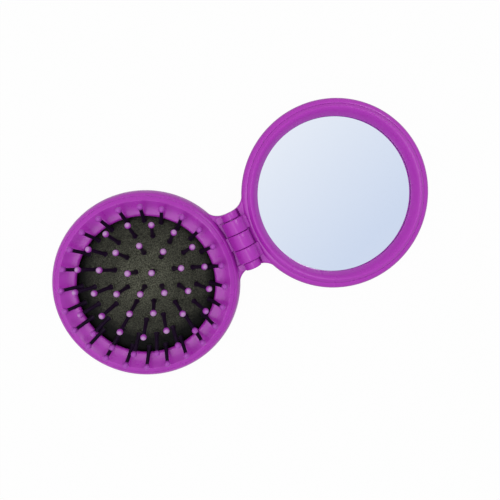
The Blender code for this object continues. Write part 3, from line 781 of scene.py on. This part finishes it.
class POCKETBRUSH_OT_mirror_case(bpy.types.Operator):
    """Make the mirror half's case, with two of the hinge's knuckles and the ribs under the mirror."""

    bl_idname = "pocketbrush.mirror_case"
    bl_label = "Mirror Case"

    def execute(self, context):
        settings = context.scene.pocket_brush
        case = settings.case
        inner = [
            (case.socket_radius, case.mirror_ledge),
            (case.mirror_cavity, case.mirror_ledge),
            (case.mirror_cavity, case.mirror_floor),
        ]
        for rib in (case.outer_rib, case.inner_rib):
            inner += [
                (rib + case.rib_gauge, case.mirror_floor),
                (rib + case.rib_gauge, case.tape_rib_top),
                (rib, case.tape_rib_top),
                (rib, case.mirror_floor),
            ]
        profile = [(0, 0)] + case_side(case, case.mirror_flat_radius, case.mirror_widest)
        profile += inner + [(0, case.mirror_floor)]
        mesh = turned_mesh("mirror_case_shell", softened(profile, case.edge), MIRROR_CENTRE, closed=False)
        mesh = with_hinge(mesh, case, settings.hinge, MIRROR_CENTRE, settings.hinge.mirror_top)
        show_piece("mirror_case_shell", mesh, "purple_moulded_abs", "mirror_half", "mirror_case")
        return {"FINISHED"}


class POCKETBRUSH_OT_hinge_pin(bpy.types.Operator):
    """Make the wire through the knuckles, with chamfered ends."""

    bl_idname = "pocketbrush.hinge_pin"
    bl_label = "Hinge Pin"

    def execute(self, context):
        low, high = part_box("hinge_pin")
        radius = (high.z - low.z) / 2
        edge = context.scene.pocket_brush.case.edge
        mesh = cylinder_on_y("hinge_wire", radius, low.y, high.y, HINGE_POINT, edge)
        show_piece("hinge_wire", mesh, "drawn_steel_wire", "brush_half", "hinge_pin")
        return {"FINISHED"}


# The pad


# Run over which the ring's face levels out beside its rolled edge, as a share of that edge's radius
LEVEL_RUN_SHARE = 2.5


class POCKETBRUSH_OT_pad_ring(bpy.types.Operator):
    """Make the ring in front of the cushion: a crest, a face that slopes inwards and a rolled edge at the opening."""

    bl_idname = "pocketbrush.pad_ring"
    bl_label = "Pad Ring"

    def execute(self, context):
        case = context.scene.pocket_brush.case
        pad = context.scene.pocket_brush.pad
        outer = snapped_ring(case, "pad_ring", pad.crest, case.brush_widest)
        crest = outer[-1]
        foot = (pad.opening + pad.roll, pad.roll_top)
        arriving = (foot[0] + pad.roll * LEVEL_RUN_SHARE, foot[1])
        face = sweep(crest, (crest[0] - case.crest_round, crest[1]), arriving, foot, steps=20)
        roll = arc((foot[0], foot[1] - pad.roll), (pad.roll, pad.roll), 90, 270, steps=16)
        profile = outer + face[1:-1] + roll + [(pad.dome_radius, bottom_of("pad_ring"))]
        mesh = turned_mesh("front_ring", profile, BRUSH_CENTRE)
        show_piece("front_ring", mesh, "purple_moulded_abs", "brush_half", "pad_ring")
        return {"FINISHED"}


def cushion_height(pad, radius):
    """Top of the cushion: a shallow dome down to the edge that the ring clamps."""
    share = min(radius / pad.dome_radius, 1)
    return pad.edge_height + pad.dome_rise * (1 - share**2)


# Each ring of pins: the nodes' name, how many pins, how many share a node, their outward lean in degrees, the strength
# of the painted highlight on their ends, and how far use has set them over, in degrees
PIN_RINGS = (
    ("inner_pin", 6, 1, 13.0, 1.0, 6.0),
    ("second_ring_pins", 12, 2, 26.0, 1.0, 5.5),
    ("third_ring_pins", 18, 2, 34.0, 0.8, 5.0),
    ("outer_ring_pins", 24, 2, 36.0, 0.25, 2.0),
)

# How far use has set the centre pin over, in degrees
CENTRE_SET = 7.0

# Share of its painted highlight that a pin of the third ring lacks on the side that the pins are set to
HIGHLIGHT_LOSS_SHARE = 0.7

# A pin's foot, as shares of its radius: how far it reaches up and down, its shoulder, and the end of its taper. A neck
# narrows until this share of the ball's radius under the ball's middle.
FOOT_REACH_SHARE = 0.3
FOOT_SHOULDER_SHARES = (0.82, 0.8)
FOOT_TAPER_SHARE = 2.0
NECK_SHARE = 0.4


def stand(settings, radius, azimuth, lean, over):
    """Places a pin's own axis on the pad, with its foot on the cushion's top."""
    foot = BRUSH_CENTRE + Vector((0, 0, cushion_height(settings.pad, radius)))
    foot += Vector((math.cos(azimuth), math.sin(azimuth), 0)) * radius
    turn = settings.pins.set_turn
    return (
        Matrix.Translation(foot)
        @ Matrix.Rotation(math.radians(over), 4, Vector((-math.sin(turn), math.cos(turn), 0)))
        @ Matrix.Rotation(azimuth, 4, "Z")
        @ Matrix.Rotation(math.radians(lean), 4, "Y")
    )


def pin_places(settings):
    """{node: [(place, strength of the painted highlight on its end) of each of its pins]}, the centre pin first."""
    pins = settings.pins
    places = {"centre_pin": [(stand(settings, 0, 0, 0, CENTRE_SET), 1.0)]}
    for ring, (name, count, shared, lean, wear_and_highlight, over) in enumerate(PIN_RINGS):
        radius = pins.outer_ring if name == "outer_ring_pins" else pins.ring_spacing * (ring + 1)
        for number in range(count):
            azimuth = pins.phase + math.tau * number / count
            # Painted highlight: the third ring's pins lose part of it on the side that they are set towards
            highlight_loss = max(0, math.cos(azimuth - pins.set_turn)) if name == "third_ring_pins" else 0
            pin = (stand(settings, radius, azimuth, lean, over), wear_and_highlight * (1 - HIGHLIGHT_LOSS_SHARE * highlight_loss))
            places.setdefault(f"{name}_{number // shared + 1:02d}", []).append(pin)
    return places


def shank_profile(pins):
    """A pin's head, foot and shank up to its neck inside the ball."""
    neck = pins.reach - pins.ball_radius
    foot_reach = pins.foot_radius * FOOT_REACH_SHARE
    return [
        (0, -pins.head_drop - pins.head_thickness),
        (pins.head_radius, -pins.head_drop - pins.head_thickness),
        (pins.head_radius, -pins.head_drop),
        (pins.radius, -pins.head_drop),
        (pins.radius, -foot_reach),
        (pins.foot_radius, -foot_reach),
        (pins.foot_radius, foot_reach),
        tuple(pins.foot_radius * share for share in FOOT_SHOULDER_SHARES),
        (pins.radius, pins.foot_radius * FOOT_TAPER_SHARE),
        (pins.neck_radius, neck - pins.ball_radius * NECK_SHARE),
        (pins.neck_radius, neck),
        (0, neck),
    ]


def add_copy(bm, profile, place, closed=False, wear_and_highlight=0.0, ball=None):
    """Adds a small turned shape to bm at a place. ball is the (middle, radius) that its highlight_share comes from."""
    part = bmesh.new()
    turn_profile(part, profile, PIN_STEPS, closed)
    bmesh.ops.remove_doubles(part, verts=part.verts, dist=WELD)
    if ball:
        middle, radius = ball
        share = part.verts.layers.float.new(HIGHLIGHT_ATTRIBUTE)
        for vert in part.verts:
            vert[share] = wear_and_highlight * (vert.co.z - middle) / radius
    part.transform(place)
    scratch = bpy.data.meshes.new("scratch")
    part.to_mesh(scratch)
    part.free()
    bm.from_mesh(scratch)
    bpy.data.meshes.remove(scratch)


def copies_of(profile, places, name, ball=None):
    """One mesh with a turned shape at each (place, wear)."""
    bm = bmesh.new()
    for place, wear_and_highlight in places:
        add_copy(bm, profile, place, wear_and_highlight=wear_and_highlight, ball=ball)
    return finished_mesh(bm, name)


class POCKETBRUSH_OT_pins(bpy.types.Operator):
    """Make every pin: a nylon shank with its head, and a dipped ball tip."""

    bl_idname = "pocketbrush.pins"
    bl_label = "Pins"

    def execute(self, context):
        settings = context.scene.pocket_brush
        pins = settings.pins
        shank = shank_profile(pins)
        ball_centre = (0, pins.reach - pins.ball_radius)
        ball = arc(ball_centre, (pins.ball_radius, pins.ball_radius), -90, 90, steps=10)
        for node, places in pin_places(settings).items():
            body = "push_plate" if node == "centre_pin" else node
            shanks = copies_of(shank, places, f"{node}_shank")
            show_piece(f"{node}_shank", shanks, "black_moulded_nylon", body, node)
            tips = copies_of(ball, places, f"{node}_tip", ball=(ball_centre[1], pins.ball_radius))
            show_piece(f"{node}_tip", tips, "dipped_ball_tip", body)
        return {"FINISHED"}


# Width of the slope on a collar's edge, as a share of the collar's height
COLLAR_SLOPE_SHARE = 0.5


class POCKETBRUSH_OT_cushion(bpy.types.Operator):
    """Make the domed rubber cushion, with a collar moulded round each pin."""

    bl_idname = "pocketbrush.cushion"
    bl_label = "Cushion"

    def execute(self, context):
        settings = context.scene.pocket_brush
        pad = settings.pad
        outer = radius_of("cushion")
        radii = [pad.dome_radius * step / DOME_STEPS for step in range(DOME_STEPS + 1)]
        top = [(radius, cushion_height(pad, radius)) for radius in radii]
        edge_bottom = bottom_of("cushion")
        under = [(radius, height - pad.skin) for radius, height in reversed(top[:-1])]
        edge = [(outer, pad.edge_height), (outer, edge_bottom), (pad.dome_radius, edge_bottom)]
        bm = bmesh.new()
        turn_profile(bm, top + edge + under, ROUND_STEPS, closed=False)
        bmesh.ops.translate(bm, vec=BRUSH_CENTRE, verts=bm.verts)
        bmesh.ops.remove_doubles(bm, verts=bm.verts, dist=WELD)
        foot = settings.pins.foot_radius + settings.case.seam
        collar = [
            (foot, -pad.skin / 2),
            (pad.socket_radius, -pad.skin / 2),
            (pad.socket_radius, 0),
            (foot + pad.socket_rise * COLLAR_SLOPE_SHARE, pad.socket_rise),
            (foot, pad.socket_rise),
        ]
        for place, _ in itertools.chain(*pin_places(settings).values()):
            add_copy(bm, collar, place, closed=True)
        mesh = finished_mesh(bm, "rubber_cushion")
        obj = show_piece("rubber_cushion", mesh, "grained_black_rubber", None, "cushion")
        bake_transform(obj)
        return {"FINISHED"}


# The push plate's grooves, in widths of its edge: how wide they are and how far their bevels go down. Its flange as a
# share of its height, and its boss as a share of its radius.
GROOVE_WIDTH, GROOVE_BEVEL = 2, 0.25
FLANGE_SHARE, BOSS_SHARE = 0.36, 0.62


class POCKETBRUSH_OT_push_plate(bpy.types.Operator):
    """Make the push plate, with raised grip rings on the face that the finger meets."""

    bl_idname = "pocketbrush.push_plate"
    bl_label = "Push Plate"

    def execute(self, context):
        pad = context.scene.pocket_brush.pad
        edge = context.scene.pocket_brush.case.edge
        radius = radius_of("push_plate")
        bottom = bottom_of("push_plate")
        top = top_of("push_plate")
        groove_edge = bottom + edge * GROOVE_BEVEL
        under = [(0, bottom)]
        for ring in range(1, int(radius / pad.grip_pitch)):
            near = ring * pad.grip_pitch
            far = near + edge * GROOVE_WIDTH
            groove = [(near, groove_edge), (near, bottom + edge), (far, bottom + edge), (far, groove_edge)]
            under += [(near - edge, bottom), *groove, (far + edge, bottom)]
        flange = bottom + (top - bottom) * FLANGE_SHARE
        boss = radius * BOSS_SHARE
        boss_top = top - edge * 2
        rim = [(radius, bottom), (radius, flange), (boss, flange), (boss, boss_top), (0, boss_top)]
        profile = under + softened([(0, bottom)] + rim, edge)[1:]
        mesh = turned_mesh("grip_plate", profile, BRUSH_CENTRE, PLATE_STEPS, closed=False)
        show_piece("grip_plate", mesh, "black_moulded_nylon", "push_plate", "push_plate")
        return {"FINISHED"}


# The mirror


# Handles of the bezel's slope: run at the crest, and run and rise at the lip, as shares of the slope's own
SLOPE_CREST_SHARE = 0.4
SLOPE_LIP_SHARES = (0.16, 0.22)

# The lip's rounded edge goes from this direction to straight down, in degrees
LIP_TURN = (140, 270)


class POCKETBRUSH_OT_mirror_bezel(bpy.types.Operator):
    """Make the ring that holds the mirror, rising from a lip over the glass to a rounded crest."""

    bl_idname = "pocketbrush.mirror_bezel"
    bl_label = "Mirror Bezel"

    def execute(self, context):
        case = context.scene.pocket_brush.case
        mirror = context.scene.pocket_brush.mirror
        outer = snapped_ring(case, "mirror_bezel", mirror.crest, case.mirror_widest)
        crest = outer[-1]
        seat = bottom_of("mirror_bezel")
        gap = seat - case.mirror_ledge
        lip_back = top_of("mirror_glass") + gap
        lip_top = lip_back + mirror.lip
        run = crest[0] - mirror.sight
        rise = crest[1] - lip_top
        leaving = (crest[0] - run * SLOPE_CREST_SHARE, crest[1])
        arriving = (mirror.sight + run * SLOPE_LIP_SHARES[0], lip_top + rise * SLOPE_LIP_SHARES[1])
        slope = sweep(crest, leaving, arriving, (mirror.sight, lip_top), steps=20)
        lip = arc((mirror.sight + case.edge, lip_top - case.edge), (case.edge, case.edge), *LIP_TURN, steps=6)
        pocket = radius_of("mirror_glass") + gap
        inner = [(mirror.sight + case.edge, lip_back), (pocket, lip_back), (pocket, seat)]
        profile = outer + slope[1:-1] + lip + inner
        mesh = turned_mesh("mirror_ring", profile, MIRROR_CENTRE)
        show_piece("mirror_ring", mesh, "purple_moulded_abs", "mirror_half", "mirror_bezel")
        return {"FINISHED"}


class POCKETBRUSH_OT_mirror_glass(bpy.types.Operator):
    """Make the mirror, with its ground edge."""

    bl_idname = "pocketbrush.mirror_glass"
    bl_label = "Mirror Glass"

    def execute(self, context):
        chamfer = context.scene.pocket_brush.mirror.chamfer
        radius = radius_of("mirror_glass")
        bottom = bottom_of("mirror_glass")
        top = top_of("mirror_glass")
        profile = [(0, bottom), (radius, bottom), (radius, top - chamfer), (radius - chamfer, top), (0, top)]
        mesh = turned_mesh("mirror_disc", profile, MIRROR_CENTRE, closed=False)
        show_piece("mirror_disc", mesh, "silvered_float_glass", "mirror_half", "mirror_glass")
        return {"FINISHED"}


class POCKETBRUSH_OT_mirror_tape(bpy.types.Operator):
    """Make the foam tape behind the mirror."""

    bl_idname = "pocketbrush.mirror_tape"
    bl_label = "Mirror Tape"

    def execute(self, context):
        edge = context.scene.pocket_brush.case.edge
        outer = radius_of("mirror_tape")
        inner = context.scene.pocket_brush.mirror.tape_hole
        bottom = bottom_of("mirror_tape")
        top = top_of("mirror_tape")
        profile = softened([(inner, bottom), (outer, bottom), (outer, top), (inner, top)], edge)
        mesh = turned_mesh("tape_ring", profile, MIRROR_CENTRE)
        show_piece("tape_ring", mesh, "white_foam_tape", "mirror_half", "mirror_tape")
        return {"FINISHED"}


# The stage


def any_ray(tree, *kinds):
    """A socket that is 1 for rays of any of these kinds."""
    rays = add_node(tree, "ShaderNodeLightPath")
    found = rays.outputs[kinds[0]]
    for kind in kinds[1:]:
        found = add_node(tree, "ShaderNodeMath", {0: found, 1: rays.outputs[kind]}, operation="MAXIMUM").outputs[0]
    return found


# The sky that mirrors show: its colours, the direction in which it deepens, and where along it that starts and ends
SKY_PALE, SKY_DEEP = "#F4F7FD", "#D6E0F3"
SKY_DIRECTION = (0.35, -0.94, 0.0)
SKY_START, SKY_END = -0.08, 0.26

WHITE = (1.0, 1.0, 1.0, 1.0)


def add_world(context, stage):
    """White to the camera, a pale gradient in mirrors, and an even light on everything else."""
    world = bpy.data.worlds.new("studio")
    context.scene.world = world
    tree = empty_tree(world)
    direction = add_node(tree, "ShaderNodeTexCoord").outputs["Generated"]
    across = add_node(tree, "ShaderNodeVectorMath", {0: direction, 1: SKY_DIRECTION}, operation="DOT_PRODUCT")
    share = add_node(
        tree, "ShaderNodeMapRange", {"Value": across.outputs["Value"], "From Min": SKY_START, "From Max": SKY_END}
    )
    sky = add_node(
        tree,
        "ShaderNodeMix",
        {"Factor": share.outputs["Result"], "A": linear(SKY_PALE), "B": linear(SKY_DEEP)},
        data_type="RGBA",
    )
    height = add_node(tree, "ShaderNodeSeparateXYZ", {"Vector": direction})
    overhead = add_node(
        tree,
        "ShaderNodeMapRange",
        {"Value": height.outputs["Z"], "To Min": stage.low_light, "To Max": stage.daylight},
    )
    even = add_node(tree, "ShaderNodeBackground", {"Color": WHITE, "Strength": overhead.outputs["Result"]})
    white = add_node(tree, "ShaderNodeBackground", {"Color": WHITE, "Strength": 1.0})
    seen = add_node(tree, "ShaderNodeBackground", {"Color": sky.outputs[2], "Strength": 1.0})
    glossy = any_ray(tree, "Is Glossy Ray")
    mirrored = add_node(tree, "ShaderNodeMixShader", {0: glossy, 1: even.outputs[0], 2: seen.outputs[0]})
    direct = any_ray(tree, "Is Camera Ray", "Is Transmission Ray")
    shown = add_node(tree, "ShaderNodeMixShader", {0: direct, 1: mirrored.outputs[0], 2: white.outputs[0]})
    add_node(tree, "ShaderNodeOutputWorld", {"Surface": shown.outputs[0]})


# How far the floor glows white to the camera and through glass, and in glossy surfaces. The rest of it is lit paper.
FLOOR_GLOW = 0.97
FLOOR_GLOW_IN_GLOSS = 0.4
FLOOR_PAPER = "#D0D0D0"

# The floor lies this far under the backs, so that no face of theirs is in its plane
FLOOR_DROP = 0.1 * MM


def add_floor(stage):
    """Matt grey paper, overexposed to near white for the camera, that keeps the object's faint shadow."""
    bm = bmesh.new()
    bmesh.ops.create_grid(bm, x_segments=1, y_segments=1, size=stage.floor_size / 2)
    bmesh.ops.translate(bm, vec=(0, 0, -FLOOR_DROP), verts=bm.verts)
    floor = add_object("floor", finished_mesh(bm, "floor"))
    made = bpy.data.materials.new("matt_grey_paper")
    tree = empty_tree(made)
    paper = add_node(tree, "ShaderNodeBsdfDiffuse", {"Color": linear(FLOOR_PAPER)})
    glow = add_node(tree, "ShaderNodeEmission", {"Color": WHITE, "Strength": 1.0})
    direct = any_ray(tree, "Is Camera Ray", "Is Transmission Ray")
    mirrored = any_ray(tree, "Is Glossy Ray")
    seen = add_node(tree, "ShaderNodeMath", {0: direct, 1: FLOOR_GLOW}, operation="MULTIPLY")
    share = add_node(
        tree, "ShaderNodeMath", {0: mirrored, 1: FLOOR_GLOW_IN_GLOSS, 2: seen.outputs[0]}, operation="MULTIPLY_ADD"
    )
    mixed = add_node(tree, "ShaderNodeMixShader", {0: share.outputs[0], 1: paper.outputs[0], 2: glow.outputs[0]})
    add_node(tree, "ShaderNodeOutputMaterial", {"Surface": mixed.outputs[0]})
    floor.data.materials.append(made)


# Each softbox: name, direction that its light comes from, distance, width, height and power in watts
SOFTBOXES = (
    ("key_softbox", (-0.405, -0.03, 0.914), 0.60, 0.50, 0.50, 1.35),
    ("fill_softbox", (0.58, 0.21, 0.78), 0.50, 0.10, 0.10, 0.35),
)


def add_softbox(name, direction, distance, width, height, power):
    """A rectangular area light that faces the object."""
    light = bpy.data.lights.new(name, "AREA")
    light.shape = "RECTANGLE"
    light.size = width
    light.size_y = height
    light.energy = power
    obj = add_object(name, light)
    obj.location = Vector(direction).normalized() * distance
    obj.rotation_euler = Vector(direction).to_track_quat("Z", "Y").to_euler()


# Width of the sensor that the lens's focal length goes with, in millimetres
SENSOR_WIDTH = 36


class POCKETBRUSH_OT_stage(bpy.types.Operator):
    """Make the camera, the lights and the floor."""

    bl_idname = "pocketbrush.stage"
    bl_label = "Stage"

    def execute(self, context):
        stage = context.scene.pocket_brush.stage
        camera = bpy.data.cameras.new("photograph_view")
        camera.lens = stage.lens
        camera.sensor_width = SENSOR_WIDTH
        camera.clip_start = 1 * MM
        obj = add_object("photograph_view", camera)
        obj.location = stage.camera_place
        obj.rotation_euler = Euler(stage.camera_turn)
        context.scene.camera = obj
        context.scene.view_settings.view_transform = "Standard"
        add_world(context, stage)
        add_floor(stage)
        for softbox in SOFTBOXES:
            add_softbox(*softbox)
        return {"FINISHED"}


OPERATORS = (
    POCKETBRUSH_OT_stage,
    POCKETBRUSH_OT_brush_case,
    POCKETBRUSH_OT_pad_ring,
    POCKETBRUSH_OT_cushion,
    POCKETBRUSH_OT_pins,
    POCKETBRUSH_OT_push_plate,
    POCKETBRUSH_OT_hinge_pin,
    POCKETBRUSH_OT_mirror_case,
    POCKETBRUSH_OT_mirror_bezel,
    POCKETBRUSH_OT_mirror_glass,
    POCKETBRUSH_OT_mirror_tape,
)


class POCKETBRUSH_PT_panel(bpy.types.Panel):
    """Lists the operators that build the hairbrush."""

    bl_idname = "POCKETBRUSH_PT_panel"
    bl_label = "Pocket Brush"
    bl_space_type = "VIEW_3D"
    bl_region_type = "UI"
    bl_category = "Pocket Brush"

    def draw(self, context):
        for operator in OPERATORS:
            self.layout.operator(operator.bl_idname)


GROUPS = (
    CaseSizes,
    HingeSizes,
    PadSizes,
    PinSizes,
    MirrorSizes,
    Finishes,
    StageSettings,
    PocketBrushSettings,
)


def register():
    for cls in GROUPS + OPERATORS + (POCKETBRUSH_PT_panel,):
        bpy.utils.register_class(cls)
    bpy.types.Scene.pocket_brush = PointerProperty(type=PocketBrushSettings)


def unregister():
    del bpy.types.Scene.pocket_brush
    for cls in reversed(GROUPS + OPERATORS + (POCKETBRUSH_PT_panel,)):
        bpy.utils.unregister_class(cls)


def main():
    register()
    for operator in OPERATORS:
        group, name = operator.bl_idname.split(".")
        getattr(getattr(bpy.ops, group), name)()


if __name__ == "__main__":
    main()
